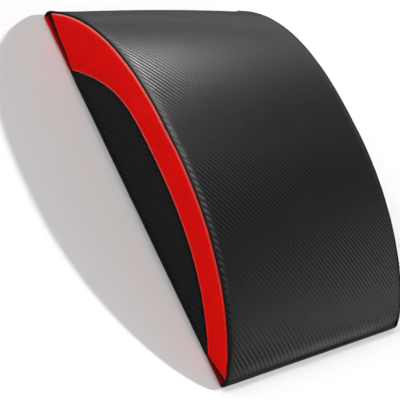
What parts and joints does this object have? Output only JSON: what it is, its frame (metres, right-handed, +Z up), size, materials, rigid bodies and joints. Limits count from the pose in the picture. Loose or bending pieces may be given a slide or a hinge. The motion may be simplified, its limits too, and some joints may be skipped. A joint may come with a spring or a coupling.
{
  "type": "ab mat",
  "caption": "Contoured sit-up mat: curved foam lumbar block in a sewn vinyl cover with coloured side crescents, corded seams and a zip underneath.",
  "frame": {"origin": "middle of the flat underside, on the surface that the mat lies on", "axes": "+X across the mat to its right side, +Y along the mat from the thin tip to the blunt tip, +Z up"},
  "size_m": [0.3102, 0.368, 0.0711],
  "materials": {
    "foam": "matte",
    "ribbed_vinyl": "satin, fine diagonal ribs",
    "red_vinyl": "satin",
    "dark_vinyl": "satin, fine weave",
    "cord_vinyl": "satin",
    "zip_tape": "matte",
    "zip_teeth": "satin",
    "zip_metal": "gloss black"
  },
  "bodies": {
    "mat": {"foam_core": "foam", "top_panel": "ribbed_vinyl", "underside_front_panel": "dark_vinyl", "underside_rear_panel": "dark_vinyl", "left_crescent": "red_vinyl", "right_crescent": "red_vinyl", "left_inner_panel": "dark_vinyl", "right_inner_panel": "dark_vinyl", "left_base_welt": "cord_vinyl", "right_base_welt": "cord_vinyl", "front_left_corner_strip": "red_vinyl", "front_right_corner_strip": "red_vinyl", "rear_left_corner_strip": "red_vinyl", "rear_right_corner_strip": "red_vinyl", "left_side_cord": "cord_vinyl", "right_side_cord": "cord_vinyl", "front_edge_cord": "cord_vinyl", "rear_edge_cord": "cord_vinyl", "front_zip_tape": "zip_tape", "rear_zip_tape": "zip_tape", "front_zip_teeth": "zip_teeth", "rear_zip_teeth": "zip_teeth", "left_zip_stop": "zip_metal", "right_zip_stop": "zip_metal"},
    "slider": {"zip_slider": "zip_metal"},
    "pull": {"zip_pull": "zip_metal"}
  },
  "joints": [
    {"name": "zip_slide", "type": "slide", "parent": "mat", "child": "slider", "axis": [1, 0, 0], "range_m": [0, 0.2486]},
    {"name": "pull_hinge", "type": "hinge", "parent": "slider", "child": "pull", "pos_m": [-0.1243, 0.124, 0.0024], "axis": [0, 1, 0], "range_deg": [0, 170]}
  ]
}
